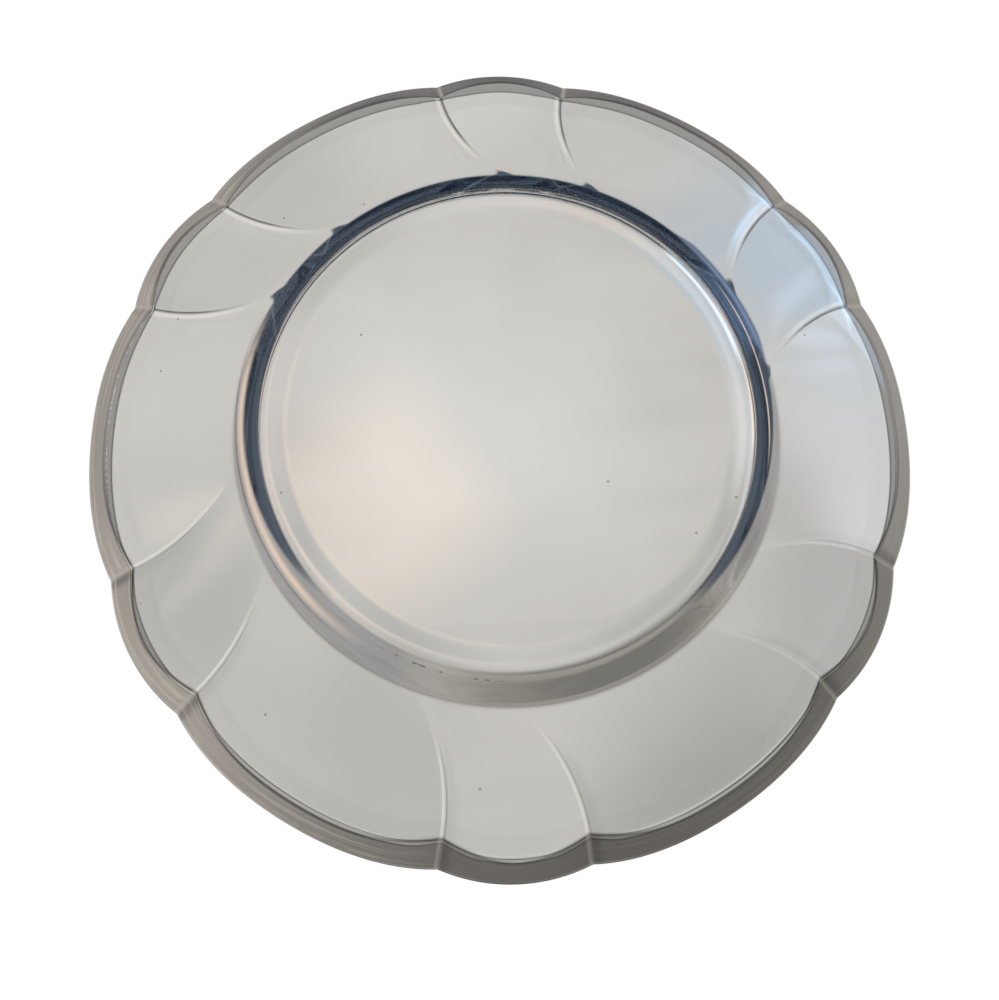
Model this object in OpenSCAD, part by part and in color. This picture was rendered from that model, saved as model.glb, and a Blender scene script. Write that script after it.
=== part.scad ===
// Scalloped dessert plate of pressed glass, standing on its foot ring.
// The plate is one pressing. Its zones are kept as separate solids that meet face to face:
// the floor, the foot ring, the well wall, each swirled petal of the flange, and the rim.
// Heights are measured from the table and radii from the plate's axis, which is Z.

/* [Foot] */
// Outer radius of the flat crest that the plate stands on
foot_r = 53.7; // [52:0.1:55]
// Width of that flat crest
foot_w = 2; // [1.2:0.1:3]
// Width of the slope from the crest in to the base
foot_slope_w = 3.2; // [2:0.1:4]
// Height of the base above the table
recess_h = 0.6; // [0.4:0.1:1]

/* [Well] */
// Thickness of the floor
floor_t = 3; // [2.6:0.1:3.6]
// Steepness of the well wall's underside, in degrees
wall_angle = 37.8; // [35:0.2:40]
// Steepness of the well wall's upper side, in degrees
cove_angle = 49; // [46:1:52]
// Height of the underside where the wall runs into the flange
collar_h = 4.4; // [4.1:0.1:5.4]
// Radius of the convex heel between foot and wall
heel_round = 0.8; // [0.5:0.1:1.4]
// Radius of the hollow curve between wall and flange, on the underside
collar_round = 1.5; // [1:0.1:2.4]
// Radius of the hollow curve between floor and wall, on the upper side
cove_round = 3; // [2:0.1:4]
// Radius of the convex curve between wall and flange, on the upper side
shoulder_round = 2; // [1.4:0.1:2.4]
// Distance from that curve's corner out to where the flange begins
shoulder_gap = 0.8; // [0.7:0.1:1.4]

/* [Petals] */
// Number of narrow petals, each with a wide one beside it
petal_pairs = 6; // [5:1:7]
// Angle that a narrow petal spans, in degrees
narrow_angle = 20; // [16:1:24]
// Steepness of the flange, in degrees
flange_angle = 20.4; // [18:0.2:23]
// Thickness of the flange
flange_t = 5.2; // [4.6:0.1:5.6]
// Width of the flange, from the well wall to the notches where the creases reach the rim
flange_w = 28.8; // [24:0.2:34]
// Angle by which each crease has swung round where it reaches the well, in degrees
swirl_angle = 9.8; // [6:0.1:14]
// How far a petal swells below its creases at the rim
swell_h = 1.3; // [0.8:0.1:1.6]

/* [Rim] */
// How far a narrow scallop stands out past its notches at the inner line of the bevel
scallop_w = 3; // [2.4:0.1:3.8]
// How far a narrow scallop stands out past its notches at the outer edge
edge_scallop_w = 1.9; // [1.2:0.1:2.4]
// Width of the bevel at a notch
bevel_w = 7.4; // [6.6:0.1:8.2]
// Height of the bevel at a notch
bevel_h = 5.9; // [5.6:0.1:6.4]
// Outward bow of the bevel's face
bevel_bow = 0.15; // [0.1:0.05:0.4]
// Distance from the notches out to the line above the bevel, where the upper side levels off
lip_w = 0.3; // [0.1:0.1:1]
// Width of the rounded top edge
edge_w = 1.2; // [0.8:0.1:1.6]
// Height of the rounded top edge
edge_rise = 0.7; // [0.5:0.1:1]

/* [Hidden] */

// Roundness of turned solids, and the number of chords in each arc of a profile
$fn = 120;
arc_steps = 8;
// Angle of one facet round the petals, and the number of facets from well to rim
petal_step = 2;
petal_rows = 10;
// Facets across the bevel and round the top edge
bevel_steps = 3;
edge_steps = 4;
// Shape of a scallop and of its petal: 2 is a plain arch, and more is flatter in the middle
narrow_power = 2;
wide_power = 3.4;
// A wide scallop stands out this share of a narrow one
wide_stand_share = 0.85;
// Tint of the glass in previews
glass = [0.72, 0.77, 0.8, 0.6];

pair_angle = 360 / petal_pairs;
wide_angle = pair_angle - narrow_angle;

// Underside of the well, from the foot outwards
foot_in_r = foot_r - foot_w;
base_r = foot_in_r - foot_slope_w;
heel_end = [foot_r + heel_round * sin(wall_angle), heel_round * (1 - cos(wall_angle))];
collar_start_h = collar_h + collar_round * (cos(wall_angle) - cos(flange_angle));
wall_run = (collar_start_h - heel_end[1]) / tan(wall_angle);
well_r = heel_end[0] + wall_run + collar_round * (sin(wall_angle) - sin(flange_angle));
collar_end = [well_r, collar_h];
collar_centre = collar_end + collar_round * [sin(flange_angle), -cos(flange_angle)];

// Upper side of the well: floor, wall and flange, and the corners where they would meet unrounded
floor_h = recess_h + floor_t;
flange_top = collar_end + [0, flange_t / cos(flange_angle)];
shoulder_corner = flange_top - shoulder_gap * [1, tan(flange_angle)];
cove_corner = meet([0, floor_h], 0, shoulder_corner, cove_angle);
cove_centre = cove_corner + cove_round * [-tan(cove_angle / 2), 1];
shoulder_turn = cove_angle - flange_angle;
shoulder_end = shoulder_corner
    + shoulder_round * tan(shoulder_turn / 2) * [cos(flange_angle), sin(flange_angle)];
shoulder_centre = shoulder_end + shoulder_round * [sin(flange_angle), -cos(flange_angle)];

// The turned zones reach this far up, so it clears the whole profile there
profile_h = flange_top[1];
// Petals start on a polygon drawn round the well wall, so that no chord cuts into it
petal_r = well_r / cos(petal_step / 2);
notch_r = well_r + flange_w;
// Each crease is an arc that leaves the notch along the radius: its radius, and its centre's
// distance from the axis
swirl_round = (well_r * well_r + notch_r * notch_r - 2 * well_r * notch_r * cos(swirl_angle))
    / (2 * well_r * sin(swirl_angle));
swirl_centre_r = norm([notch_r, swirl_round]);

// Point where the line through p at angle a crosses the line through q at angle b
function meet(p, a, q, b) =
    let (d = q - p)
    p + [cos(a), sin(a)] * (d[0] * sin(b) - d[1] * cos(b)) / sin(b - a);

// Points of an arc, from angle a0 to a1
function arc(centre, radius, a0, a1) =
    [for (i = [0:arc_steps])
        let (a = a0 + (a1 - a0) * i / arc_steps)
        centre + radius * [cos(a), sin(a)]];

function reversed(list) = [for (i = [len(list) - 1:-1:0]) list[i]];

function flange_under(r) = collar_h + (r - well_r) * tan(flange_angle);
function flange_over(r) = flange_top[1] + (r - well_r) * tan(flange_angle);

// Angle by which a crease has swung round at radius r
function swirl(r) =
    r >= notch_r ? 0 :
    atan(swirl_round / notch_r) - acos((r * r + notch_r * notch_r) / (2 * r * swirl_centre_r));

// Arch over a petal: 0 at its creases, 1 in the middle, with u from 0 to 1 across it
function arch(u, power) = 1 - pow(abs(2 * u - 1), power);

// A petal and its scallop are described by [start angle, span, arch power, stand share]
function columns_of(kind) = ceil(kind[1] / petal_step);
function angle_on(kind, u) = kind[0] + kind[1] * u;
function stand(kind, u) = kind[3] * arch(u, kind[2]);

function point_at(r, angle, h) = [r * cos(angle), r * sin(angle), h];

// Inner line of the bevel
function line_r(kind, u) = notch_r + scallop_w * stand(kind, u);
function line_h(kind, u) = flange_under(line_r(kind, u)) - swell_h * arch(u, kind[2]);

// Outermost edge, where the bevel turns over, and the crest of the rounded top edge
function edge_r(kind, u) = notch_r + bevel_w + edge_scallop_w * stand(kind, u);
edge_h = flange_under(notch_r) + bevel_h;
function crest_r(kind, u) = edge_r(kind, u) - edge_w;
crest_h = edge_h + edge_rise;

// Line above the bevel, and the height of the upper side on both sides of it
function lip_r(kind, u) = notch_r + lip_w + edge_scallop_w * stand(kind, u);
function upper_h(kind, u, r) =
    let (lip = lip_r(kind, u), share = max(0, r - lip) / (crest_r(kind, u) - lip))
    flange_over(min(r, lip)) * (1 - share) + crest_h * share;

// Closed solid between two like grids of points, rows running outwards
module grid_solid(lower, upper) {
    rows = len(lower);
    columns = len(lower[0]);
    count = rows * columns;
    points = [for (grid = [lower, upper]) for (row = grid) for (p = row) p];
    function quad(a, b, c, d) = [[a, b, c], [a, c, d]];
    sheets = [for (j = [0:rows - 2]) for (i = [0:columns - 2])
        let (a = j * columns + i, b = a + 1, c = b + columns, d = a + columns)
        each concat(quad(a, b, c, d), quad(count + a, count + d, count + c, count + b))];
    ends = [for (i = [0:columns - 2])
        let (a = i, b = i + 1, c = (rows - 1) * columns + i + 1, d = (rows - 1) * columns + i)
        each concat(quad(b, a, count + a, count + b), quad(d, c, count + c, count + d))];
    sides = [for (j = [0:rows - 2])
        let (a = j * columns, b = a + columns, c = b + columns - 1, d = a + columns - 1)
        each concat(quad(a, b, count + b, count + a), quad(c, d, count + d, count + c))];
    polyhedron(points, concat(sheets, ends, sides));
}

// One petal of the flange: swollen below, plain above up to the line above the bevel
module petal(kind) {
    columns = columns_of(kind);
    function side(upper) = [for (j = [0:petal_rows]) [for (i = [0:columns])
        let (
            u = i / columns,
            v = j / petal_rows,
            r = petal_r + v * (line_r(kind, u) - petal_r),
            under = flange_under(r) - swell_h * arch(u, kind[2]) * v
        )
        point_at(r, angle_on(kind, u) + swirl(r), upper ? upper_h(kind, u, r) : under)]];
    grid_solid(side(false), side(true));
}

// Bevel and rounded top edge over one petal
module rim_scallop(kind) {
    columns = columns_of(kind);
    function bevel(u) = [for (k = [0:bevel_steps])
        let (
            s = k / bevel_steps,
            inner = [line_r(kind, u), line_h(kind, u)],
            outer = [edge_r(kind, u), edge_h],
            along = outer - inner,
            out = [along[1], -along[0]] / norm(along)
        )
        inner + along * s + out * bevel_bow * 4 * s * (1 - s)];
    function top_edge(u) = [for (k = [1:edge_steps])
        let (a = 90 * k / edge_steps)
        [crest_r(kind, u) + edge_w * cos(a), edge_h + edge_rise * sin(a)]];
    function inward(u) = [for (r = [max(lip_r(kind, u), line_r(kind, u) + lip_w), line_r(kind, u)])
        [r, upper_h(kind, u, r)]];
    function section(u) = concat(bevel(u), top_edge(u), inward(u));
    rings = [for (i = [0:columns])
        let (u = i / columns)
        [for (p = section(u)) point_at(p[0], angle_on(kind, u), p[1])]];
    size = len(rings[0]);
    points = [for (ring = rings) for (p = ring) p];
    skin = [for (i = [0:columns - 1]) for (k = [0:size - 1])
        let (a = i * size + k, b = i * size + (k + 1) % size, c = b + size, d = a + size)
        each [[a, b, c], [a, c, d]]];
    first = [for (k = [1:size - 2]) [0, k + 1, k]];
    last = [for (k = [1:size - 2]) [columns * size, columns * size + k, columns * size + k + 1]];
    polyhedron(points, concat(skin, first, last));
}

// Section of the floor, foot and wall, out to where the petals start
module well_section() {
    underside = concat(
        [[0, recess_h], [base_r, recess_h], [foot_in_r, 0]],
        arc([foot_r, heel_round], heel_round, -90, wall_angle - 90),
        arc(collar_centre, collar_round, wall_angle + 90, flange_angle + 90)
    );
    upper_side = concat(
        [[0, floor_h]],
        arc(cove_centre, cove_round, -90, cove_angle - 90),
        arc(shoulder_centre, shoulder_round, cove_angle + 90, flange_angle + 90),
        [flange_top]
    );
    polygon(concat(underside, reversed(upper_side)));
}

// Turned solid of the part of that section between two radii
module turned_zone(from_r, to_r) {
    color(glass)
        rotate_extrude()
            intersection() {
                well_section();
                translate([from_r, 0]) square([to_r - from_r, profile_h]);
            }
}

module well_floor() { turned_zone(0, base_r); }
module foot_ring() { turned_zone(base_r, foot_r); }
module well_wall() { turned_zone(foot_r, well_r); }

// The petals in turn; the first narrow one is centred on +Y
function start_angle(k) = 90 - narrow_angle / 2 + (k - 1) * pair_angle;
function narrow_kind(k) = [start_angle(k), narrow_angle, narrow_power, 1];
function wide_kind(k) = [start_angle(k) + narrow_angle, wide_angle, wide_power, wide_stand_share];

module narrow_petal(k) { color(glass) petal(narrow_kind(k)); }

module wide_petal(k) { color(glass) petal(wide_kind(k)); }

module rim_band() {
    color(glass) for (k = [1:petal_pairs]) {
        rim_scallop(narrow_kind(k));
        rim_scallop(wide_kind(k));
    }
}

well_floor();
foot_ring();
well_wall();
rim_band();
for (k = [1:petal_pairs]) wide_petal(k);
for (k = [1:petal_pairs]) narrow_petal(k);
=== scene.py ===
"""The looks of a scalloped dessert plate of clear pressed glass.

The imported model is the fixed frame. The plate's glass is modelled as one closed mesh, because light
bends at every face it crosses and the real plate is one pressing.
"""

import math

import bpy
import numpy as np
from bpy.props import FloatProperty, FloatVectorProperty, IntProperty, PointerProperty
from mathutils import Matrix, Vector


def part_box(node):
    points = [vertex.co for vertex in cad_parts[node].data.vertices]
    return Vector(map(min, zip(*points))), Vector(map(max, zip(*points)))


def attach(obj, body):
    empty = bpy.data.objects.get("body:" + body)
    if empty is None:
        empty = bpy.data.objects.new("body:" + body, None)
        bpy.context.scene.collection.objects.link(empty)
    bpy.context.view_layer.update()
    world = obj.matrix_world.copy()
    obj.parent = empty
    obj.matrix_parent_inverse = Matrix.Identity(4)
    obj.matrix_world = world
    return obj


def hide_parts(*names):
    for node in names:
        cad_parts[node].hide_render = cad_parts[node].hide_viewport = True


bl_info = {
    "name": "Scalloped glass plate",
    "version": (1, 0, 0),
    "blender": (4, 5, 0),
    "location": "3D View > Sidebar > Plate",
    "description": "Models a pressed-glass dessert plate and its studio",
    "category": "Object",
}

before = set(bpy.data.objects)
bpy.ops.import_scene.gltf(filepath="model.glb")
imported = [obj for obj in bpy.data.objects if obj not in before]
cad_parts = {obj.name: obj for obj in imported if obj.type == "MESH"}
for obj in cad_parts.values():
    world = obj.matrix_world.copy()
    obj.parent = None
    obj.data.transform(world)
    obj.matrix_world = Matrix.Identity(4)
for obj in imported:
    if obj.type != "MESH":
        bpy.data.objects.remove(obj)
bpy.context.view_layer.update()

MM = 0.001
BLACK = (0.0, 0.0, 0.0, 1.0)
WHITE = (1.0, 1.0, 1.0, 1.0)
BODY = "root"

# What the frame says of the plate's zones: each box is (lowest corner, highest corner)
floor_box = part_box("well_floor")
foot_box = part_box("foot_ring")
wall_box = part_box("well_wall")


class PlateSizes(bpy.types.PropertyGroup):
    """Sizes of the pressing, which repeat those of the frame's solids."""

    base_radius: FloatProperty(
        name="Base radius", description="Radius of the recessed base", unit="LENGTH",
        default=floor_box[1][0])
    recess: FloatProperty(
        name="Recess", description="Height of the base above the table", unit="LENGTH",
        default=floor_box[0][2])
    floor_height: FloatProperty(
        name="Floor height", description="Height of the well's floor above the table",
        unit="LENGTH", default=floor_box[1][2])
    foot_radius: FloatProperty(
        name="Foot radius", description="Outer radius of the foot's flat crest", unit="LENGTH",
        default=foot_box[1][0])
    foot_width: FloatProperty(
        name="Foot width", description="Width of the foot's flat crest", unit="LENGTH",
        default=2 * MM)
    well_radius: FloatProperty(
        name="Well radius", description="Radius where the wall runs into the flange",
        unit="LENGTH", default=wall_box[1][0])
    collar_height: FloatProperty(
        name="Collar height", description="Height of the underside at the well radius",
        unit="LENGTH", default=4.4 * MM)
    wall_angle: FloatProperty(
        name="Wall angle", description="Steepness of the well wall below", subtype="ANGLE",
        default=math.radians(37.8))
    heel_round: FloatProperty(
        name="Heel rounding", description="Radius between foot and wall", unit="LENGTH",
        default=0.8 * MM)
    collar_round: FloatProperty(
        name="Collar rounding", description="Radius between wall and flange, below",
        unit="LENGTH", default=1.5 * MM)
    cove_angle: FloatProperty(
        name="Cove angle", description="Steepness of the well wall above", subtype="ANGLE",
        default=math.radians(49))
    cove_round: FloatProperty(
        name="Cove rounding", description="Radius between floor and wall, above",
        unit="LENGTH", default=3 * MM)
    shoulder_round: FloatProperty(
        name="Shoulder rounding", description="Radius between wall and flange, above",
        unit="LENGTH", default=2 * MM)
    shoulder_gap: FloatProperty(
        name="Shoulder gap", description="From the shoulder's corner out to the flange",
        unit="LENGTH", default=0.8 * MM)
    flange_angle: FloatProperty(
        name="Flange angle", description="Steepness of the flange", subtype="ANGLE",
        default=math.radians(20.4))
    flange_thickness: FloatProperty(
        name="Flange thickness", description="Thickness of the flange", unit="LENGTH",
        default=5.2 * MM)
    flange_width: FloatProperty(
        name="Flange width", description="From the well radius to the notches", unit="LENGTH",
        default=28.8 * MM)
    petal_pairs: IntProperty(
        name="Petal pairs", description="Narrow petals, each with a wide one beside it",
        default=6)
    narrow_angle: FloatProperty(
        name="Narrow angle", description="Angle that a narrow petal spans", subtype="ANGLE",
        default=math.radians(20))
    swirl_angle: FloatProperty(
        name="Swirl angle", description="Angle by which a crease has swung at the well",
        subtype="ANGLE", default=math.radians(9.8))
    swell: FloatProperty(
        name="Swell", description="How far a petal swells below its creases at the rim",
        unit="LENGTH", default=1.3 * MM)
    scallop: FloatProperty(
        name="Scallop", description="How far a narrow scallop stands out on the inner line",
        unit="LENGTH", default=3 * MM)
    edge_scallop: FloatProperty(
        name="Edge scallop", description="How far a narrow scallop stands out at the edge",
        unit="LENGTH", default=1.9 * MM)
    bevel_width: FloatProperty(
        name="Bevel width", description="Width of the rim bevel at a notch", unit="LENGTH",
        default=7.68 * MM)
    bevel_height: FloatProperty(
        name="Bevel height", description="Height of the rim bevel at a notch", unit="LENGTH",
        default=5.9 * MM)
    lip_reach: FloatProperty(
        name="Lip reach", description="From the notches to the line above the bevel",
        unit="LENGTH", default=0.3 * MM)
    edge_width: FloatProperty(
        name="Edge width", description="Width of the rounded top edge", unit="LENGTH",
        default=1.2 * MM)
    edge_height: FloatProperty(
        name="Edge height", description="Height of the rounded top edge", unit="LENGTH",
        default=0.7 * MM)


class GlassLooks(bpy.types.PropertyGroup):
    """Colour and finish of the glass, and the painted shade and painted light laid on it."""

    tint: FloatVectorProperty(
        name="Tint", description="Colour of light that has crossed the glass", subtype="COLOR",
        size=3, min=0, max=1, default=(0.93, 0.935, 0.925))
    # Painted shade: the dark navy the wall takes where the room's dark is seen in it
    wall_shade: FloatVectorProperty(
        name="Wall tint", description="Tint of the well wall away from the near side",
        subtype="COLOR", size=3, min=0, max=1, default=(0.012, 0.02, 0.035))
    # Painted light that the wall gives off beside its painted dark shade
    painted_side_light: FloatVectorProperty(
        name="Side haze", description="Light that the wall scatters beside its dark part",
        subtype="COLOR", size=3, min=0, max=1, default=(0.285, 0.262, 0.238))
    # Painted shade: the grey of the wall on the near side
    near_wall_shade: FloatVectorProperty(
        name="Near tint", description="Tint of the well wall on the near side",
        subtype="COLOR", size=3, min=0, max=1, default=(0.25, 0.238, 0.212))
    # Painted light that the wall gives off on its shaded near side
    painted_near_light: FloatVectorProperty(
        name="Near haze", description="Light that the wall scatters on the near side",
        subtype="COLOR", size=3, min=0, max=1, default=(0.2, 0.19, 0.172))
    # Painted shade on the bevel: cool on the far and right sides, warm on the left, dark on the near
    # side
    bevel_cool_shade: FloatVectorProperty(
        name="Cool tint", description="Tint of the bevel on the far and right sides",
        subtype="COLOR", size=3, min=0, max=1, default=(0.5, 0.49, 0.475))
    bevel_warm_shade: FloatVectorProperty(
        name="Warm tint", description="Tint of the bevel on the left side", subtype="COLOR",
        size=3, min=0, max=1, default=(0.5, 0.45, 0.4))
    bevel_near_shade: FloatVectorProperty(
        name="Dark tint", description="Tint of the bevel on the near side", subtype="COLOR",
        size=3, min=0, max=1, default=(0.085, 0.08, 0.073))
    # Painted shade on the upper side out to the rim's edge
    rim_shade: FloatVectorProperty(
        name="Rim tint", description="Tint of the upper side from the edge to its line",
        subtype="COLOR", size=3, min=0, max=1, default=(0.24, 0.238, 0.234))
    # Painted light that the glass gives off, Deep to Cream below, with the painted shade beside the
    # crease light
    deep: FloatVectorProperty(
        name="Deep", description="Faint light in the darkest part of the wall",
        subtype="COLOR", size=3, min=0, max=1, default=(0.004, 0.006, 0.011))
    slate: FloatVectorProperty(
        name="Slate", description="Light in the outer half of the wall's dark part",
        subtype="COLOR", size=3, min=0, max=1, default=(0.006, 0.01, 0.016))
    blue: FloatVectorProperty(
        name="Blue", description="Light on the wall's edge at the window", subtype="COLOR",
        size=3, min=0, max=1, default=(0.11, 0.15, 0.25))
    streak: FloatVectorProperty(
        name="Streak", description="Light of the lines that lean in the dark wall",
        subtype="COLOR", size=3, min=0, max=1, default=(0.07, 0.085, 0.1))
    # Painted light on the bevel's sides
    painted_bevel_light: FloatVectorProperty(
        name="Haze", description="Light that the bevel scatters", subtype="COLOR",
        size=3, min=0, max=1, default=(0.105, 0.094, 0.083))
    glint: FloatVectorProperty(
        name="Glint", description="Light of the glints and streaks on the bevel",
        subtype="COLOR", size=3, min=0, max=1, default=(0.24, 0.215, 0.175))
    drawn: FloatVectorProperty(
        name="Drawn lines", description="Light of the fine lines along the bevel",
        subtype="COLOR", size=3, min=0, max=1, default=(0.24, 0.215, 0.18))
    beads: FloatVectorProperty(
        name="Beads", description="Light on the bevel's worn inner line", subtype="COLOR",
        size=3, min=0, max=1, default=(0.5, 0.47, 0.42))
    crease_light: FloatVectorProperty(
        name="Crease light", description="Light over a crease on the bevel", subtype="COLOR",
        size=3, min=0, max=1, default=(0.17, 0.155, 0.135))
    crease_shade: FloatVectorProperty(
        name="Crease shade", description="Tint beside that light", subtype="COLOR",
        size=3, min=0, max=1, default=(0.015, 0.016, 0.017))
    petal_light: FloatVectorProperty(
        name="Petal light", description="Light beside a crease between petals",
        subtype="COLOR", size=3, min=0, max=1, default=(0.2, 0.185, 0.17))
    sky: FloatVectorProperty(
        name="Sky", description="Cool light on the foot's edge", subtype="COLOR",
        size=3, min=0, max=1, default=(0.42, 0.5, 0.55))
    window: FloatVectorProperty(
        name="Window", description="Cool light on the petals at the window", subtype="COLOR",
        size=3, min=0, max=1, default=(0.12, 0.24, 0.36))
    cream: FloatVectorProperty(
        name="Cream", description="Light that runs along the wall", subtype="COLOR",
        size=3, min=0, max=1, default=(0.66, 0.51, 0.39))
    # Dark lines: the mould line and faint rings, and painted shade along edges, creases and the bevel
    lines_and_shade: FloatVectorProperty(
        name="Line tint", description="Tint of the dark lines along edges and creases",
        subtype="COLOR", size=3, min=0, max=1, default=(0.03, 0.032, 0.035))
    mottle_tint: FloatVectorProperty(
        name="Mottle tint", description="Tint of the darker patches in the glass",
        subtype="COLOR", size=3, min=0, max=1, default=(0.86, 0.863, 0.857))
    speck_tint: FloatVectorProperty(
        name="Speck tint", description="Tint of the small dark specks", subtype="COLOR",
        size=3, min=0, max=1, default=(0.2, 0.2, 0.2))
    roughness: FloatProperty(
        name="Roughness", description="Roughness of the fire-polished surface", default=0.012)
    wall_roughness: FloatProperty(
        name="Wall roughness", description="Roughness that the well wall has beyond that",
        default=0.1)
    wave_depth: FloatProperty(
        name="Wave depth", description="Depth of the faint waves that pressing leaves",
        unit="LENGTH", default=0.02 * MM)
    refraction: FloatProperty(
        name="Refraction", description="Refractive index of the glass", default=1.52)


# A petal's form: the power of the curve over its width, and a wide petal's scallop as a share of
# a narrow one's
NARROW_POWER = 2.0
WIDE_POWER = 3.4
WIDE_STAND_SHARE = 0.85

# Roundings at the base, at the foot's inner side, at the bevel's corners and on the top edge
BASE_ROUND = 14 * MM
CREST_ROUND = 7 * MM
BEVEL_ROUND = 0.5 * MM
TOP_ROUND = 0.9 * MM

# Mesh density: columns in a narrow petal, which a wide one has twice, and the share by which
# they crowd together at the creases
NARROW_COLUMNS = 33
CROWDING_SHARE = 0.6

# Points along the section: steps in a rounding, and points on each straight stretch
ARC_STEPS = 8
FLANGE_POINTS = 26
BEVEL_POINTS = 5
PLAIN_POINTS = 3
MERGE_DISTANCE = 0.002 * MM

# Places among the section's corners: bevel's inner line, outer edge, top and line above the bevel
LINE_CORNER = 5
EDGE_CORNER = 6
TOP_CORNER = 7
LIP_CORNER = 8

# Names of the mesh's attributes, and the first mark of the line above the bevel, which is more
# than any on the underside
MARKS = "marks"
SIDE = "side"
UPPER = 100 * MM


def flange_under(sizes, radius):
    """Height of the flange's underside, along a crease."""
    return sizes.collar_height + (radius - sizes.well_radius) * math.tan(sizes.flange_angle)


def flange_over(sizes, radius):
    """Height of the flange's upper side."""
    thickness = sizes.flange_thickness / math.cos(sizes.flange_angle)
    return flange_under(sizes, radius) + thickness


def meet(start, rise, end, end_rise):
    """Corner of two lines: one from start at the angle rise, one through end at end_rise."""
    across = end[0] - start[0]
    up = end[1] - start[1]
    along = (across * math.sin(end_rise) - up * math.cos(end_rise)) / math.sin(end_rise - rise)
    return start[0] + math.cos(rise) * along, start[1] + math.sin(rise) * along


def swirl(sizes, radius):
    """Angle by which a crease has swung round at a radius: an arc that leaves the rim square."""
    well = sizes.well_radius
    notch = well + sizes.flange_width
    turn = sizes.swirl_angle
    arc = (well**2 + notch**2 - 2 * well * notch * math.cos(turn)) / (2 * well * math.sin(turn))
    inside = np.clip(radius, well, notch)
    share = (inside**2 + notch**2) / (2 * inside * math.hypot(notch, arc))
    return np.arctan2(arc, notch) - np.arccos(np.clip(share, -1, 1))


def section(sizes, arch, stand):
    """Corners of the plate's section over one line across a petal, from the base outwards.

    Each corner is (radius, height, rounding, points before it). arch is 0 at a crease and 1 in
    the middle of a petal, and stand is the share by which the scallop stands out there.
    """
    notch = sizes.well_radius + sizes.flange_width
    wall = sizes.wall_angle
    heel_end = (
        sizes.foot_radius + sizes.heel_round * math.sin(wall),
        sizes.heel_round * (1 - math.cos(wall)),
    )
    heel = meet((0, 0), 0, heel_end, wall)
    collar = meet(
        heel_end, wall, (sizes.well_radius, sizes.collar_height), sizes.flange_angle)
    shoulder_radius = sizes.well_radius - sizes.shoulder_gap
    shoulder = (shoulder_radius, flange_over(sizes, shoulder_radius))
    cove = meet((0, sizes.floor_height), 0, shoulder, sizes.cove_angle)
    line = notch + sizes.scallop * stand
    lip = notch + sizes.lip_reach + sizes.edge_scallop * stand
    edge = notch + sizes.bevel_width + sizes.edge_scallop * stand
    edge_height = flange_under(sizes, notch) + sizes.bevel_height
    return [
        (0, sizes.recess, 0, 0),
        (sizes.base_radius, sizes.recess, BASE_ROUND, PLAIN_POINTS),
        (sizes.foot_radius - sizes.foot_width, 0, CREST_ROUND, 1),
        (*heel, sizes.heel_round, 1),
        (*collar, sizes.collar_round, PLAIN_POINTS),
        (line, flange_under(sizes, line) - sizes.swell * arch, BEVEL_ROUND, FLANGE_POINTS),
        (edge, edge_height, BEVEL_ROUND, BEVEL_POINTS),
        (edge - sizes.edge_width, edge_height + sizes.edge_height, TOP_ROUND, 1),
        (lip, flange_over(sizes, lip), BEVEL_ROUND, BEVEL_POINTS),
        (*shoulder, sizes.shoulder_round, FLANGE_POINTS),
        (*cove, sizes.cove_round, PLAIN_POINTS),
        (0, sizes.floor_height, 0, PLAIN_POINTS),
    ]


def unit(vectors):
    """The vectors, each with a length of 1."""
    return vectors / np.linalg.norm(vectors, axis=-1, keepdims=True)


def rounded(corners):
    """The section as points, and the row of each corner: one with a rounding becomes an arc.

    Radius and height may be arrays, one value for each column, and then each point has as many.
    """
    places = [np.stack(np.broadcast_arrays(corner[0], corner[1]), -1) for corner in corners]
    shape = np.broadcast_shapes(*(place.shape for place in places))
    places = [np.broadcast_to(place, shape).astype(float) for place in places]
    points = [places[0]]
    rows = [0]
    for k in range(1, len(corners)):
        start = points[-1]
        rounding, between = corners[k][2:]
        arc = [places[k]]
        if rounding:
            back = unit(places[k - 1] - places[k])
            on = unit(places[k + 1] - places[k])
            cosine = np.sum(back * on, axis=-1, keepdims=True)
            half = np.arccos(np.clip(cosine, -1, 1)) / 2
            first = places[k] + back * rounding / np.tan(half)
            last = places[k] + on * rounding / np.tan(half)
            centre = places[k] + unit(back + on) * rounding / np.sin(half)
            spokes = [first + (last - first) * i / ARC_STEPS - centre
                      for i in range(ARC_STEPS + 1)]
            arc = [centre + unit(spoke) * rounding for spoke in spokes]
        points += [start + (arc[0] - start) * i / (between + 1) for i in range(1, between + 1)]
        rows.append(len(points) + len(arc) // 2)
        points += arc
    return np.stack(points, -2), rows


def petal_columns(sizes):
    """Angle, arch, stand, angle from the nearest crease and side of the mesh's columns.

    The side is 1 just past a crease and -1 just before one.
    """
    pair = 2 * math.pi / sizes.petal_pairs
    columns = []
    for k in range(sizes.petal_pairs):
        start = math.pi / 2 - sizes.narrow_angle / 2 + k * pair
        kinds = [
            (start, sizes.narrow_angle, NARROW_POWER, 1.0, NARROW_COLUMNS),
            (start + sizes.narrow_angle, pair - sizes.narrow_angle, WIDE_POWER,
             WIDE_STAND_SHARE, 2 * NARROW_COLUMNS),
        ]
        for begin, span, power, stand_share, count in kinds:
            for i in range(count):
                even = 2 * math.pi * i / count
                place = (even - CROWDING_SHARE * math.sin(even)) / (2 * math.pi)
                arch = 1 - abs(2 * place - 1) ** power
                aside = span * min(place, 1 - place)
                side = min(1, max(-1, 2 * math.cos(math.pi * place)))
                columns.append((begin + span * place, arch, stand_share * arch, aside, side))
    return np.array(columns).T


def deselect_all():
    """Leaves nothing selected, so that an operator acts on its own piece alone."""
    bpy.ops.object.select_all(action="DESELECT")


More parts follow.
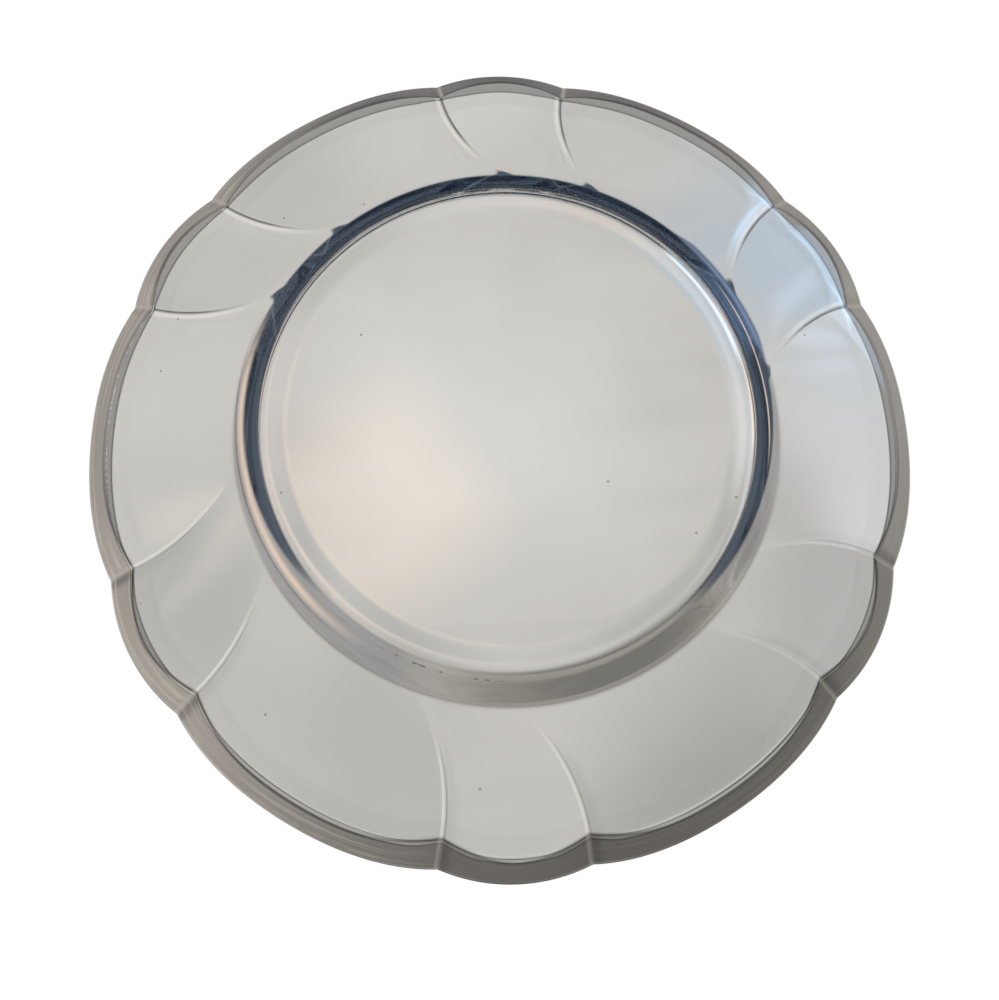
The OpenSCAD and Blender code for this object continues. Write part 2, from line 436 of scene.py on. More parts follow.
def lathe(name, outline, steps):
    """Closed body of revolution: the outline is drawn vertex by vertex and spun about the axis."""
    deselect_all()
    bpy.ops.mesh.primitive_plane_add(size=MM, location=(0, 0, 0))
    body = bpy.context.object
    body.name = name
    bpy.ops.object.mode_set(mode="EDIT")
    bpy.ops.mesh.merge(type="CENTER")
    bpy.ops.transform.translate(value=(outline[0][0], 0, outline[0][1]))
    for before, after in zip(outline, outline[1:]):
        step = (after[0] - before[0], 0, after[1] - before[1])
        bpy.ops.mesh.extrude_region_move(TRANSFORM_OT_translate={"value": step})
    bpy.ops.mesh.select_all(action="SELECT")
    bpy.ops.mesh.spin(steps=steps, angle=2 * math.pi, center=(0, 0, 0), axis=(0, 0, 1))
    bpy.ops.object.mode_set(mode="OBJECT")
    return body


def pressed(sizes):
    """Places and marks of the pressing's points: one row of them for each column of the mesh.

    A point's marks are how far along the section it stands from the bevel's inner line, that way
    as a share of the bevel, how far it is from the nearest crease, and its side of it. On the
    upper side the first is UPPER and how far it stands from the line above the bevel.
    """
    angle, arch, stand, aside, side = petal_columns(sizes)
    places, rows = rounded(section(sizes, arch, stand))
    radius = places[..., 0]
    turned = angle[:, None] + swirl(sizes, radius)
    steps = np.linalg.norm(np.diff(places, axis=1), axis=-1)
    way = np.concatenate([np.zeros((len(steps), 1)), np.cumsum(steps, axis=1)], 1)
    line, edge = rows[LINE_CORNER], rows[EDGE_CORNER]
    from_line = way - way[:, line:line + 1]
    share = from_line / from_line[:, edge:edge + 1]
    upper = rows[TOP_CORNER] - 1
    from_line[:, upper:] += UPPER - from_line[:, rows[LIP_CORNER], None]
    sides = np.broadcast_to(side[:, None], radius.shape)
    marks = [from_line, share, radius * aside[:, None], sides]
    places = [radius * np.cos(turned), radius * np.sin(turned), places[..., 1]]
    return np.stack(places, -1), np.stack(marks, -1)


def mark(mesh, marks):
    """Keeps the marks of its points in the mesh, for the glass to read."""
    layer = mesh.attributes.new(MARKS, "FLOAT_VECTOR", "POINT")
    layer.data.foreach_set("vector", marks[..., :3].reshape(-1))
    layer = mesh.attributes.new(SIDE, "FLOAT", "POINT")
    layer.data.foreach_set("value", marks[..., 3].reshape(-1))


def mould(body, outline, places, marks):
    """Presses the petals and scallops into the lathe's body."""
    mesh = body.data
    count = len(mesh.vertices)
    flat = np.empty(count * 3)
    mesh.vertices.foreach_get("co", flat)
    points = flat.reshape(-1, 3)
    radius = np.hypot(points[:, 0], points[:, 1])
    row = np.argmin(
        (radius[:, None] - outline[None, :, 0]) ** 2
        + (points[:, 2][:, None] - outline[None, :, 1]) ** 2, axis=1)
    angle = np.arctan2(points[:, 1], points[:, 0]) % (2 * math.pi)
    column = np.rint(angle / (2 * math.pi) * len(places)).astype(int) % len(places)
    mesh.vertices.foreach_set("co", places[column, row].reshape(-1))
    mark(mesh, marks[column, row])
    mesh.update()


def close_and_smooth(body):
    """Merges seam and poles, turns every face outwards and shades the body smooth."""
    deselect_all()
    body.select_set(True)
    bpy.context.view_layer.objects.active = body
    bpy.ops.object.mode_set(mode="EDIT")
    bpy.ops.mesh.select_all(action="SELECT")
    bpy.ops.mesh.remove_doubles(threshold=MERGE_DISTANCE)
    bpy.ops.mesh.normals_make_consistent(inside=False)
    bpy.ops.object.mode_set(mode="OBJECT")
    bpy.ops.object.shade_smooth()


class Value:
    """A number from a node, on which sums are written as Python expressions."""

    def __init__(self, shader, socket):
        self.shader = shader
        self.socket = socket

    def math(self, operation, *others):
        """A Math node with this value first."""
        return self.shader.add("ShaderNodeMath", {"operation": operation}, [self, *others])

    def __add__(self, other):
        return self.math("ADD", other)

    def __sub__(self, other):
        return self.math("SUBTRACT", other)

    def __mul__(self, other):
        return self.math("MULTIPLY", other)

    def __truediv__(self, other):
        return self.math("DIVIDE", other)

    def __pow__(self, other):
        return self.math("POWER", other)

    def __rsub__(self, other):
        return self.shader.add("ShaderNodeMath", {"operation": "SUBTRACT"}, [other, self])

    __radd__ = __add__
    __rmul__ = __mul__

    def __rtruediv__(self, other):
        return self.shader.add("ShaderNodeMath", {"operation": "DIVIDE"}, [other, self])

    def clamped(self):
        """This value held between 0 and 1."""
        return self.shader.add(
            "ShaderNodeMath", {"operation": "ADD", "use_clamp": True}, [self, 0.0])

    def above(self, low, high):
        """0 below low, 1 above high, and a smooth rise between."""
        return self.shader.add(
            "ShaderNodeMapRange", {"interpolation_type": "SMOOTHSTEP"},
            {"Value": self, "From Min": low, "From Max": high})

    def near(self, middle, reach):
        """1 at middle, falling smoothly to 0 at a distance of reach on both sides."""
        return 1 - (self - middle).math("ABSOLUTE").above(0.0, reach)


class Shader:
    """A node tree being written."""

    def __init__(self, tree):
        self.tree = tree
        tree.nodes.clear()

    def add(self, kind, settings=None, sockets=None, output=0):
        """Adds a node: its settings first, then the values or links of its sockets."""
        node = self.tree.nodes.new(kind)
        for key, value in (settings or {}).items():
            setattr(node, key, value)
        pairs = sockets.items() if isinstance(sockets, dict) else enumerate(sockets or [])
        for key, value in pairs:
            if isinstance(value, Value):
                self.tree.links.new(value.socket, node.inputs[key])
            else:
                node.inputs[key].default_value = value
        return Value(self, node.outputs[output]) if node.outputs else None

    def parts(self, vector, factor):
        """The three numbers of a vector, each times a factor."""
        return [self.add("ShaderNodeSeparateXYZ", sockets=[vector], output=k) * factor
                for k in range(3)]

    def noise(self, place, scale, detail):
        """Soft noise from 0 to 1."""
        return self.add("ShaderNodeTexNoise",
                        sockets={"Vector": place, "Scale": scale, "Detail": detail})

    def vector(self, x, y, z):
        """A vector from three numbers."""
        return self.add("ShaderNodeCombineXYZ", sockets=[x, y, z])

    def blend(self, first, second, factor):
        """The first colour where the factor is 0 and the second where it is 1."""
        return self.add("ShaderNodeMix", {"data_type": "RGBA"}, {0: factor, 6: first, 7: second},
                        output=2)

    def finish(self, kind, surface):
        """Links the finished surface to the tree's output."""
        self.add(kind, sockets={"Surface": surface})


# The thick wall's painted shade, in mm: radii where it begins and ends, each as the start
# and end of a soft edge, and where its painted dark part ends: at the least, how much further out
# on the far side, and how much more again at a crease
WALL_START = (52.9, 53.8)
WALL_END = (59.5, 60.9)
DARK_START = 54.0
DARK_WIDTH = 5.7
CUSP_HEIGHT = 1.4

# Radii in mm of what is painted round the wall: the core of its painted dark shade, painted light
# at the window, the painted warm arc of light and how far it leans in towards the near side, thin
# lines of painted light, the near edge and the mould line
CORE_RADIUS = 53.6
BLUE_RADIUS = 59.3
ARC_RADIUS = 58.1
ARC_LEAN = 1.9
CREAM_RADII = (57.0, 52.6)
SKY_RADIUS = 52.1
NEAR_RADIUS = 60.4
SEAM_RADIUS = 55.1

# Streaks of painted light in the dark wall: how much they turn per mm outwards, and from which radius
# on
STREAK_TURN = 0.0184
STREAK_RADIUS = 57.0

# Where the bevel's shading begins, in mm out from its inner line: between creases, and how much
# further in at a crease
SWING = 1.35
SWING_BACK = 1.75

# Specks to a metre, and in mm the depth of a crease's fine groove and the width of the stretch
# that falls towards the rim, with the factor of its curve
SPECK_SCALE = 42.0
GROOVE_DEPTH = 0.12
FALL_WIDTH = 7.0
FALL_CURVE = 0.005


class Spot:
    """Where a point of the glass lies, as the numbers that its patterns read, in mm.

    right and toward are the shares of its direction from the axis: to the right as the camera
    sees it, and to the near side. line, share and aside are the first three marks of a point,
    across is aside with a minus sign before a crease, and before is its opposite. The others are
    masks: under is the underside as far as the bevel, and upper the whole upper side.
    """

    def __init__(self, shader):
        self.shader = shader
        self.place = shader.add("ShaderNodeTexCoord", output="Object")
        x, y, _ = shader.parts(self.place, 1 / MM)
        self.radius = (x * x + y * y) ** 0.5
        self.right = x / self.radius
        self.toward = y / self.radius
        marks = shader.add("ShaderNodeAttribute", {"attribute_name": MARKS}, output="Vector")
        self.line, share, self.aside = shader.parts(marks, 1 / MM)
        self.share = share * MM
        side = shader.add("ShaderNodeAttribute", {"attribute_name": SIDE}, output="Fac")
        self.across = self.aside * side
        self.before = self.across * -1.0
        self.close = 1 - self.aside.above(8.0, 13.0)
        self.under = 1 - self.line.above(-0.05, 0.05)
        self.upper = self.line.above(60.0, 61.0)
        self.left_side = 1 - self.right.above(-0.5, -0.15)
        self.right_side = self.right.above(0.3, 0.7)
        self.near_side = self.toward.above(-0.25, 0.4)
        self.window_side = self.right_side * self.between(-0.76, -0.68, -0.32, -0.18)
        self.patches = shader.noise(self.place, 25.0, 2.0)
        self.drift = shader.noise(self.place, 90.0, 2.0)
        self.along = self.drawn_noise(5.0, self.radius * 1.3, 2.0)

    def between(self, low, full, fade, high):
        """1 for the part of the plate where toward lies between two values, with soft ends."""
        return self.toward.above(low, full) * (1 - self.toward.above(fade, high))

    def faces(self, right, far, low, high):
        """1 where the glass lies that way from the axis, to the right and to the far side."""
        return (right * self.right - far * self.toward).above(low, high)

    def drawn_noise(self, turns, depth, detail):
        """Noise in streaks along the plate's rings: turns is how fast it changes along them."""
        return self.shader.noise(
            self.shader.vector(self.right * turns, self.toward * turns, depth), 1.0, detail)


class Paint:
    """Tint, painted shade and painted light of the glass, laid on one over another."""

    def __init__(self, shader, tint):
        self.shader = shader
        self.tint = (*tint, 1.0)
        self.glow = BLACK

    def stain_and_shade(self, colour, mask):
        """Light that crosses the glass takes this colour, and what shone there fades: for the glass's
        own tones and for painted shade.
        """
        self.tint = self.shader.blend(self.tint, (*colour, 1.0), mask)
        self.glow = self.shader.blend(self.glow, BLACK, mask)

    def shine(self, colour, mask):
        """Painted light: the glass gives off this much light of its own."""
        self.glow = self.shader.blend(self.glow, (*colour, 1.0), mask)


def shade_wall(spot, paint, looks):
    """The thick wall in painted shade: navy on the far side and grey on the near side.

    Gives back where the wall is, which the mould left less smooth.
    """
    radius, right, toward = spot.radius, spot.right, spot.toward
    begin = spot.under * radius.above(*WALL_START)
    ring = begin * (1 - (radius - 0.5 * spot.near_side).above(*WALL_END))

    # The painted dark shade narrows from the far side to the near side, and has a cusp at each crease
    fall = (0.74 + 0.03 * right - (0.8 - 0.1 * right) * toward).clamped()
    cusp = spot.aside.near(0.0, 2.6) * (1 - toward.above(-0.2, 0.15))
    outer = DARK_START + DARK_WIDTH * fall + CUSP_HEIGHT * cusp + spot.window_side
    dark = begin * (1 - (radius - outer).above(-0.8, 0.3))
    dark = dark * (1 - (toward - 0.12 * right).above(0.5, 0.8))

    # Painted shade on the near side of the wall
    paint.stain_and_shade(looks.near_wall_shade, ring * (toward + 0.2 * right).above(0.2, 0.65))
    beside = ring * toward.above(-0.5, -0.2) * (1 - (toward + 0.3 * right).above(0.75, 1.0))
    # Painted dark shade over the wall, and painted light beside its dark part
    paint.stain_and_shade(looks.wall_shade, beside)
    paint.shine(looks.painted_side_light, beside * (1 - dark))
    shaded = toward.above(0.2, 0.6) * right.above(-1.0, 0.0)
    paint.shine(looks.painted_near_light, beside * (1 - dark) * shaded)
    paint.stain_and_shade(looks.wall_shade, dark)
    light_dark_wall(spot, paint, looks, dark, outer)
    light_warm_wall(spot, paint, looks)
    line_near_wall(spot, paint, looks, ring)
    return ring


def light_dark_wall(spot, paint, looks, dark, outer):
    """The dark wall's painted light: slate outwards, blue at the window, a streak at each crease."""
    radius, right, toward = spot.radius, spot.right, spot.toward
    lean = STREAK_TURN * (radius - STREAK_RADIUS)
    way = spot.shader.vector(right + toward * lean, toward - right * lean, 0.0)
    leaning = spot.shader.noise(way, 16.0, 2.5)
    depth = ((radius - CORE_RADIUS) / (outer - CORE_RADIUS)).above(0.28, 0.6)
    slate = dark * depth.math("MAXIMUM", toward.above(-0.6, -0.1))
    slate = slate * (1 - 0.7 * spot.right_side * (1 - toward.above(-0.2, 0.1)))
    paint.shine(looks.deep, dark)
    paint.shine(looks.slate, slate * (0.25 + 1.5 * leaning).clamped())
    edge = spot.under * spot.window_side * radius.near(BLUE_RADIUS, 1.3)
    paint.shine(looks.blue, edge * 0.8)
    slant = spot.before - (2.0 + 1.2 * (60.0 - radius))
    slant = slant.near(0.0, 1.1) * spot.close * (1 - toward.above(-0.5, -0.1))
    paint.shine(looks.streak, dark * slant * 0.8)


def light_warm_wall(spot, paint, looks):
    """Warm light along the wall's left and near side, and thin lines on the right."""
    radius, toward, under = spot.radius, spot.toward, spot.under
    course = radius - (ARC_RADIUS - ARC_LEAN * toward)
    arc = under * spot.left_side * spot.between(-0.5, -0.1, 0.6, 0.88)
    paint.shine(looks.cream, arc * course.near(0.0, 1.3) * (0.9 + spot.along).clamped())
    paint.stain_and_shade(looks.lines_and_shade, arc * course.near(1.4, 0.35) * 0.5)
    reach = under * spot.right_side * spot.between(-0.6, -0.4, 0.05, 0.25)
    paint.shine(looks.cream, reach * radius.near(CREAM_RADII[0], 0.35))
    paint.shine(looks.cream, reach * radius.near(CREAM_RADII[1], 0.5) * 0.6)
    paint.shine(looks.sky, under * spot.window_side * radius.near(SKY_RADIUS, 0.85))


def line_near_wall(spot, paint, looks, ring):
    """On the near side: a darker edge, faint rings and a broken mould line."""
    radius, toward = spot.radius, spot.toward
    near = toward.above(0.35, 0.7)
    paint.stain_and_shade(looks.lines_and_shade, spot.under * near * radius.near(NEAR_RADIUS, 0.35) * 0.35)
    paint.stain_and_shade(looks.lines_and_shade, ring * near * spot.along.above(0.5, 0.75) * 0.16)
    seam = radius.near(SEAM_RADIUS, 0.25) * toward.above(0.86, 0.9)
    seam = seam * (1 - spot.right.above(-0.06, -0.01))
    broken = spot.shader.noise(spot.place, 700.0, 0.0).above(0.52, 0.56)
    paint.stain_and_shade(looks.lines_and_shade, spot.under * seam * broken)


def shade_bevel(spot, paint, looks):
    """Painted shade on the bevel, grey or brown by its side, and on the upper side up to a line of
    its own.
    """
    line, right, toward = spot.line, spot.right, spot.toward
    rest = 1 - spot.aside.above(0.0, 30.0)
    swing = SWING - SWING_BACK * rest * rest
    band = (line - spot.near_side * swing).above(0.0, 0.3)
    band = band * (1 - spot.share.above(0.96, 1.02))
    brown = (0.3 * toward - 0.8 * right).above(-0.2, 0.8)
    gloom = (0.8 * toward + 0.35 * right).above(0.25, 0.9)
    # Painted shade on the bevel, by its side
    tint = spot.shader.blend((*looks.bevel_cool_shade, 1.0), (*looks.bevel_warm_shade, 1.0), brown)
    tint = spot.shader.blend(tint, (*looks.bevel_near_shade, 1.0), gloom)
    paint.tint = spot.shader.blend(paint.tint, tint, band)
    # Painted light on the bevel's left and right sides
    paint.shine(looks.painted_bevel_light, band * (1 - gloom) * right.math("ABSOLUTE").above(0.2, 0.9))

    # The upper side's line is seen through the glass, and out beyond it the upper side is in painted
    # shade
    bow = spot.aside.above(0.0, 8.0)
    lip = line - (UPPER / MM + 0.1 - 0.85 * toward * bow)
    paint.stain_and_shade(looks.rim_shade, spot.upper * (1 - lip.above(-0.25, 0.25)))
    paint.stain_and_shade(looks.lines_and_shade, spot.upper * lip.near(0.0, 0.45))
    line_bevel(spot, paint, looks, band, swing)
    light_bevel(spot, paint, looks, band, gloom)


def line_bevel(spot, paint, looks, band, swing):
    """Dark lines and painted shade beside the bevel's inner line, which bow out between the creases.
    """
    line, near = spot.line, spot.near_side
    far = 1 - spot.toward.above(-0.5, 0.1)
    paint.stain_and_shade(looks.lines_and_shade, far * band * (line - swing).near(0.3, 2.4) * 0.8)
    paint.stain_and_shade(looks.lines_and_shade, near * line.near(-0.15, 0.3) * 0.2)
    strip = line.above(-0.3, 0.1) * (1 - (line - swing).above(0.0, 0.5))
    paint.stain_and_shade(looks.lines_and_shade, near * strip * 0.5)
    paint.stain_and_shade(looks.lines_and_shade, near * (line - swing).near(0.25, 0.95) * 0.95)
    paint.stain_and_shade(looks.lines_and_shade, near * (line - 0.45 * swing).near(0.0, 0.25) * 0.7)
    paint.stain_and_shade(looks.lines_and_shade, spot.share.near(1.0, 0.05) * 0.5)


def light_bevel(spot, paint, looks, band, gloom):
    """Painted light on the bevel: a line over each crease, glints and streaks, and a beaded highlight
    on the inner line at the left.
    """
    share, across = spot.share, spot.across
    facing = band * spot.close
    # Painted shade beside the painted light over each crease
    shade = facing * spot.before.near(1.0, 2.2)
    paint.stain_and_shade(looks.crease_shade, shade * (0.2 + 0.35 * spot.near_side))
    paint.shine(looks.crease_light, facing * across.near(0.45, 0.75) * (1 - 0.5 * gloom))
    glint = across.above(0.8, 1.6) * (1 - across.above(3.0, 12.0)) * spot.close
    glint = glint * share.near(0.42, 0.13) * spot.left_side
    streak = share.near(0.8, 0.08) * spot.drift.above(0.42, 0.6) * spot.left_side
    paint.shine(looks.glint, band * (0.6 * glint + 0.5 * streak).clamped())
    drawn = spot.drawn_noise(2.0, share * 9.0, 1.0).above(0.5, 0.72)
    paint.shine(looks.drawn, band * drawn * (0.12 + 0.45 * spot.left_side))
    # Painted highlight along the inner line on the left, broken into beads
    beads = spot.shader.noise(spot.place, 1100.0, 0.0).above(0.5, 0.6)
    lighted = spot.left_side * spot.between(-0.5, -0.2, 0.0, 0.3)
    paint.shine(looks.beads, lighted * spot.line.near(0.1, 0.3) * (0.3 + 0.7 * beads))


def shade_creases(spot, paint, looks):
    """Where petals meet: a dark line of painted shade beside one of painted light, fading towards the
    well.

    Gives back where the creases are.
    """
    across, before = spot.across, spot.before
    fade = spot.under * spot.close
    reach = fade * spot.radius.above(63.0, 76.0)
    side = spot.toward.above(-0.3, 0.3)
    dark = across.near(0.15, 0.4) * (1 - side) + across.near(-0.25, 0.5) * side * 0.4
    shade = before.near(1.2, 2.4) * side * 0.14
    paint.stain_and_shade(looks.lines_and_shade, (reach * (dark + shade)).clamped())
    light = before.near(0.95, 1.0) * (1 - side) + across.near(0.35, 0.6) * side
    paint.shine(looks.petal_light, fade * spot.radius.above(59.5, 74.0) * light * 0.75)
    return reach


def light_petals(spot, paint, looks):
    """Cool light along the rim and creases of the petals that face the window."""
    line = spot.line
    bow = spot.aside.above(0.0, 8.0)
    wisps = (0.35 + 1.1 * spot.drift).clamped()
    rim = spot.faces(0.866, 0.5, 0.95, 0.985) * (1 - 0.45 * bow)
    rim = rim * (line + 1.0 + 3.4 * bow).near(0.0, 1.1)
    crease = spot.faces(0.707, 0.707, 0.95, 0.985) * spot.close * spot.before.near(2.3, 1.3)
    crease = 0.8 * crease * spot.radius.above(61.0, 74.0) * (1 - line.above(-2.0, 0.0))
    corner = spot.faces(0.97, 0.24, 0.975, 0.995) * spot.close
    corner = 0.8 * corner * spot.across.near(2.5, 2.5) * line.near(-1.5, 1.8)
    paint.shine(looks.window, spot.under * ((rim + crease) * wisps + corner).clamped())


def stain_specks(spot, paint, looks):
    """Small dark specks, a few across the plate."""
    cell = {"feature": "F1", "voronoi_dimensions": "2D"}
    sockets = {"Vector": spot.place, "Scale": SPECK_SCALE}
    away = spot.shader.add("ShaderNodeTexVoronoi", cell, sockets)
    draw = spot.shader.add("ShaderNodeTexVoronoi", cell, sockets, output="Color")
    kept = spot.shader.parts(draw, 1.0)[0].above(0.6, 0.62)
    inside = 1 - spot.line.above(-2.0, -1.0)
    paint.stain_and_shade(looks.speck_tint, kept * (1 - away.above(0.006, 0.016)) * inside)


def surface_height(spot, looks, groove):
    """Height of the surface over the mesh in mm: waves, creases and a fall towards the rim."""
    waves = spot.patches * looks.wave_depth / MM
    fall = (spot.line + FALL_WIDTH).math("MAXIMUM", 0.0) * (1 - spot.line.above(-0.1, 0.1))
    creases = GROOVE_DEPTH * spot.across.near(0.0, 0.6) * groove
    return waves - creases - FALL_CURVE * fall * fall


def glass_material(looks):
    """Clear pressed glass: painted shade in its thick bends and on the bevel, painted light and shade
    in lines and streaks, and mottling and specks.
    """
    material = bpy.data.materials.new("pressed_glass")
    material.use_nodes = True
    shader = Shader(material.node_tree)
    spot = Spot(shader)
    paint = Paint(shader, looks.tint)
    paint.stain_and_shade(looks.mottle_tint, spot.patches.above(0.42, 0.68) * 0.6)
    wall = shade_wall(spot, paint, looks)
    shade_bevel(spot, paint, looks)
    groove = shade_creases(spot, paint, looks)
    light_petals(spot, paint, looks)
    stain_specks(spot, paint, looks)
    bump = shader.add("ShaderNodeBump", sockets={
        "Height": surface_height(spot, looks, groove), "Distance": MM, "Strength": 1.0})
    # The base colour carries the painted shade, and the emission the painted light
    surface = shader.add("ShaderNodeBsdfPrincipled", sockets={
        "Base Color": paint.tint,
        "Roughness": wall * looks.wall_roughness + looks.roughness,
        "IOR": looks.refraction,
        "Transmission Weight": 1.0,
        "Normal": bump,
        "Emission Color": paint.glow,
        "Emission Strength": 1.0,
    })
    shader.finish("ShaderNodeOutputMaterial", surface)
    return material


class PLATE_OT_glass(bpy.types.Operator):
    """Models the pressing and gives it its glass"""

    bl_idname = "plate.glass"
    bl_label = "Pressed glass"

    def execute(self, context):
        sizes = context.scene.plate_sizes
        places, marks = pressed(sizes)
        outline, _ = rounded(section(sizes, 0.0, 0.0))
        body = lathe("plate_glass", outline, len(places))
        mould(body, outline, places, marks)
        close_and_smooth(body)
        body.data.materials.append(glass_material(context.scene.plate_looks))
        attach(body, BODY)
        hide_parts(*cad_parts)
        return {"FINISHED"}


class StageLooks(bpy.types.PropertyGroup):
    """Camera and floor."""

    distance: FloatProperty(
        name="Distance", description="From the camera to the middle of the notches",
        unit="LENGTH", default=194.9 * MM)
    tilt: FloatProperty(
        name="Tilt", description="Lean of the view towards the near side", subtype="ANGLE",
        default=math.radians(-13.24))
    lean: FloatProperty(
        name="Lean", description="Lean of the view to the side", subtype="ANGLE",
        default=math.radians(2.17))
    turn: FloatProperty(
        name="Turn", description="Turn of the view about the plate's axis", subtype="ANGLE",
        default=math.radians(0.65))
    lens: FloatProperty(
        name="Lens", description="Focal length on a 36 mm sensor", default=30.2)
    shift: FloatVectorProperty(
        name="Shift", description="Shift of the lens", size=2, default=(-0.0083, -0.0698))
    floor_size: FloatProperty(
        name="Floor size", description="Width of the square floor", unit="LENGTH", default=6)
    floor_colour: FloatVectorProperty(
        name="Floor colour", description="Colour of the floor from above", subtype="COLOR",
        size=3, min=0, max=1, default=(0.8, 0.8, 0.79))
    floor_roughness: FloatProperty(
        name="Floor roughness", description="Roughness of the floor", default=0.9)


# Light that reaches the glass: the table seen through it, the dark room at its level, the
# room's near side and what is below
TABLE = (0.66, 0.635, 0.605)
ROOM_DARK = (0.012, 0.02, 0.04)
ROOM_NEAR = (0.3, 0.285, 0.26)
ROOM_LOW = (0.3, 0.31, 0.33)

# Soft patches of that light: colour, strength, middle (turn, height), reach (turn, height) in
# degrees, and the share of the reach that is full
PATCHES = (
    ((1.0, 0.975, 0.945), 0.76, (-90.0, 76.0), (17.0, 15.0), 0.1),
    ((1.0, 0.975, 0.95), 0.7, (-88.0, 52.0), (12.0, 8.0), 0.1),
    ((1.0, 0.965, 0.92), 0.57, (-118.0, 57.0), (11.0, 7.0), 0.1),
    ((1.0, 0.965, 0.92), 0.68, (-146.0, 63.0), (12.0, 10.0), 0.1),
    ((1.0, 0.985, 0.965), 0.38, (45.0, 66.0), (22.0, 18.0), 0.1),
    ((1.0, 0.985, 0.965), 0.5, (-3.0, 66.0), (14.0, 7.0), 0.1),
    ((1.0, 0.98, 0.95), 0.53, (178.0, 71.0), (12.0, 8.0), 0.1),
    ((1.0, 0.965, 0.925), 0.54, (132.0, 79.0), (12.0, 9.0), 0.1),
    ((0.98, 0.99, 1.0), 0.73, (-23.0, 60.0), (15.0, 8.0), 0.2),
    ((0.76, 0.88, 1.0), 0.72, (-47.0, 56.0), (14.0, 8.0), 0.1),
    ((1.0, 0.69, 0.42), 3.9, (-127.0, -79.3), (9.5, 9.5), 0.2),
    ((0.3, 0.55, 1.0), 1.4, (-38.0, 3.0), (14.0, 11.0), 0.5),
    ((0.42, 0.68, 1.0), 2.2, (-33.0, -13.5), (17.0, 6.0), 0.7),
    ((0.62, 0.75, 1.0), 1.9, (-32.5, -23.5), (5.5, 3.0), 0.1),
    ((0.62, 0.72, 1.0), 1.2, (-25.0, -26.0), (3.5, 3.0), 0.1),
    ((1.0, 0.84, 0.7), 1.6, (173.0, -37.5), (9.0, 6.0), 0.2),
)


def patch_mask(x, y, z, middle, reach, full):
    """1 for directions in the middle of a patch of light, falling to 0 at its reach."""
    turn, rise = (math.radians(part) for part in middle)
    wide, tall = (math.sin(math.radians(part)) for part in reach)
    out = x * math.cos(turn) + y * math.sin(turn)
    beside = (y * math.cos(turn) - x * math.sin(turn)) / wide
    above = (z * math.cos(rise) - out * math.sin(rise)) / tall
    ahead = out * math.cos(rise) + z * math.sin(rise)
    flat, up = beside * beside, above * above
    away = (flat * flat + up * up) ** 0.25
    return (1 - away.above(full, 1.0)) * ahead.above(0.0, 0.1)


def room_light(shader):
    """Colour of the room by direction, with the grain of the table and the patches of light."""
    way = shader.add("ShaderNodeTexCoord", output="Generated")
    x, y, z = shader.parts(way, 1.0)
    height = z.math("ARCSINE") * (180 / math.pi)
    table = height.above(36.0, 48.0)
    near = y.above(-0.2, 0.5) * height.above(-60.0, -20.0)
    grain = shader.noise(shader.vector(x * 1.6, y * 11.0, 0.0), 1.0, 3.0)
    room = shader.blend((*ROOM_LOW, 1.0), (*ROOM_DARK, 1.0), height.above(-70.0, -8.0))
    room = shader.blend(room, (*ROOM_NEAR, 1.0), near)
    room = shader.blend(room, (*TABLE, 1.0), table)
    room = shader.blend(room, BLACK, table * grain.near(0.3, 0.25) * 0.08)
    for colour, strength, middle, reach, full in PATCHES:
        lit = (*(strength * part for part in colour), 1.0)
        room = shader.blend(room, lit, patch_mask(x, y, z, middle, reach, full))
    return room


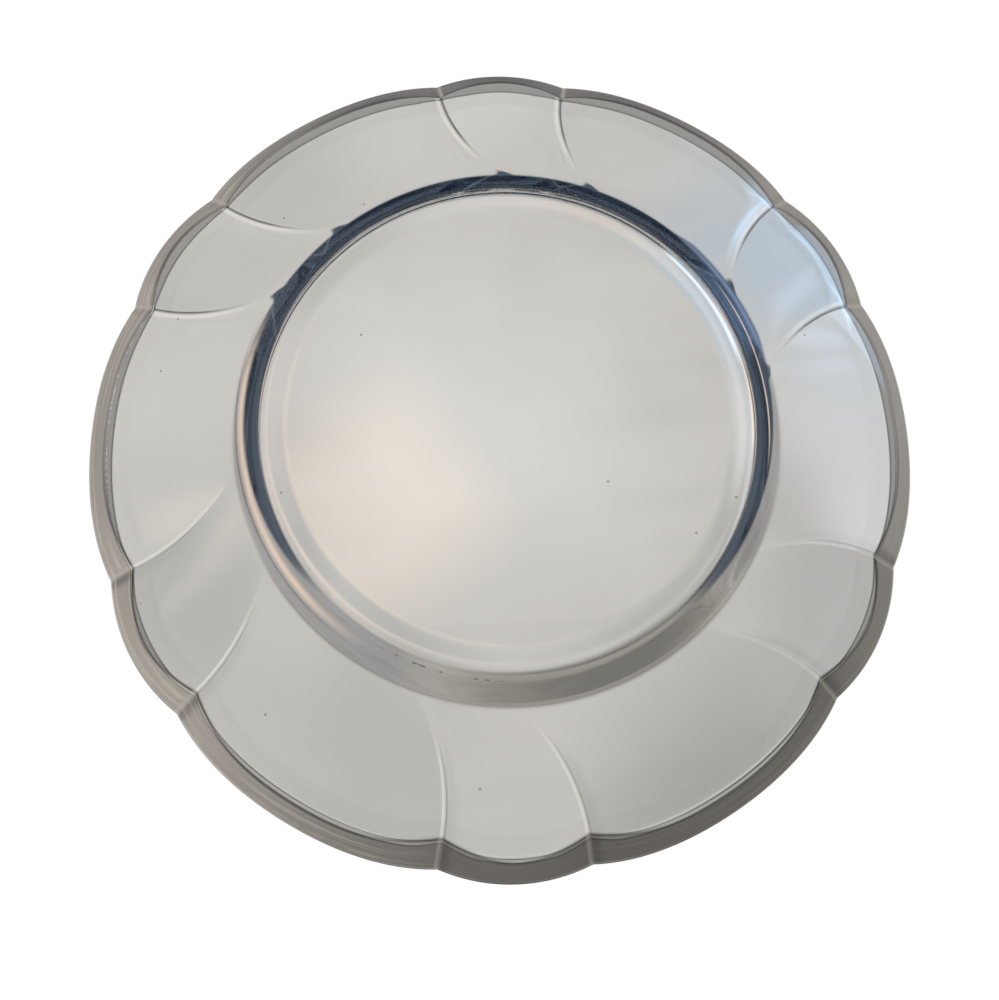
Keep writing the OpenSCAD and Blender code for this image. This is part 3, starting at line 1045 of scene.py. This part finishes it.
class PLATE_OT_stage(bpy.types.Operator):
    """Sets up the floor, the light and the camera"""

    bl_idname = "plate.stage"
    bl_label = "Studio"

    def execute(self, context):
        stage = context.scene.plate_stage
        sizes = context.scene.plate_sizes
        self.aim_camera(context, stage, sizes)
        self.lay_floor(stage)
        self.light_world(context)
        context.scene.view_settings.view_transform = "Standard"
        return {"FINISHED"}

    def aim_camera(self, context, stage, sizes):
        """Puts the camera below the plate, which the photograph shows from its underside."""
        notch = sizes.well_radius + sizes.flange_width
        aim = Matrix.Translation((0, 0, flange_under(sizes, notch)))
        under = Matrix.Rotation(math.pi, 4, "X")
        view = Matrix.Rotation(stage.lean, 4, "Y") @ Matrix.Rotation(stage.tilt, 4, "X")
        spin = Matrix.Rotation(stage.turn, 4, "Z")
        back = Matrix.Translation((0, 0, stage.distance))
        deselect_all()
        bpy.ops.object.camera_add()
        camera = context.object
        camera.name = "camera"
        camera.matrix_world = aim @ spin @ under @ view.inverted() @ back
        camera.data.lens = stage.lens
        camera.data.shift_x, camera.data.shift_y = stage.shift
        camera.data.clip_start = MM
        context.scene.camera = camera

    def lay_floor(self, stage):
        """A plain pale floor that shows from above only."""
        deselect_all()
        bpy.ops.mesh.primitive_plane_add(size=stage.floor_size, location=(0, 0, 0))
        floor = bpy.context.object
        floor.name = "floor"
        material = bpy.data.materials.new("floor")
        material.use_nodes = True
        shader = Shader(material.node_tree)
        below = shader.add("ShaderNodeNewGeometry", output="Backfacing")
        mirrored = shader.add("ShaderNodeLightPath", output="Is Reflection Ray")
        through = below.math("MAXIMUM", mirrored)
        paint = shader.add("ShaderNodeBsdfPrincipled", sockets={
            "Base Color": (*stage.floor_colour, 1.0), "Roughness": stage.floor_roughness})
        clear = shader.add("ShaderNodeBsdfTransparent")
        surface = shader.add("ShaderNodeMixShader", sockets=[through, paint, clear])
        shader.finish("ShaderNodeOutputMaterial", surface)
        floor.data.materials.append(material)

    def light_world(self, context):
        """White behind the plate, and a soft room for the glass to bend and reflect."""
        world = bpy.data.worlds.new("studio")
        world.use_nodes = True
        shader = Shader(world.node_tree)
        seen = shader.add("ShaderNodeLightPath", output="Is Camera Ray")
        scattered = shader.add("ShaderNodeLightPath", output="Diffuse Depth")
        plain = (seen + scattered).clamped()
        white = shader.add("ShaderNodeBackground", sockets={"Color": WHITE})
        studio = shader.add("ShaderNodeBackground", sockets={"Color": room_light(shader)})
        surface = shader.add("ShaderNodeMixShader", sockets=[plain, studio, white])
        shader.finish("ShaderNodeOutputWorld", surface)
        context.scene.world = world


class PLATE_PT_panel(bpy.types.Panel):
    """Lists the steps that build the plate"""

    bl_label = "Glass plate"
    bl_idname = "PLATE_PT_panel"
    bl_space_type = "VIEW_3D"
    bl_region_type = "UI"
    bl_category = "Plate"

    def draw(self, context):
        for step in STEPS:
            self.layout.operator(step.bl_idname)


GROUPS = {"plate_sizes": PlateSizes, "plate_looks": GlassLooks, "plate_stage": StageLooks}
STEPS = (PLATE_OT_stage, PLATE_OT_glass)


def register():
    for name, group in GROUPS.items():
        bpy.utils.register_class(group)
        setattr(bpy.types.Scene, name, PointerProperty(type=group))
    for step in STEPS:
        bpy.utils.register_class(step)
    bpy.utils.register_class(PLATE_PT_panel)


def unregister():
    bpy.utils.unregister_class(PLATE_PT_panel)
    for step in reversed(STEPS):
        bpy.utils.unregister_class(step)
    for name, group in GROUPS.items():
        delattr(bpy.types.Scene, name)
        bpy.utils.unregister_class(group)


def main():
    register()
    bpy.ops.plate.stage()
    bpy.ops.plate.glass()


if __name__ == "__main__":
    main()
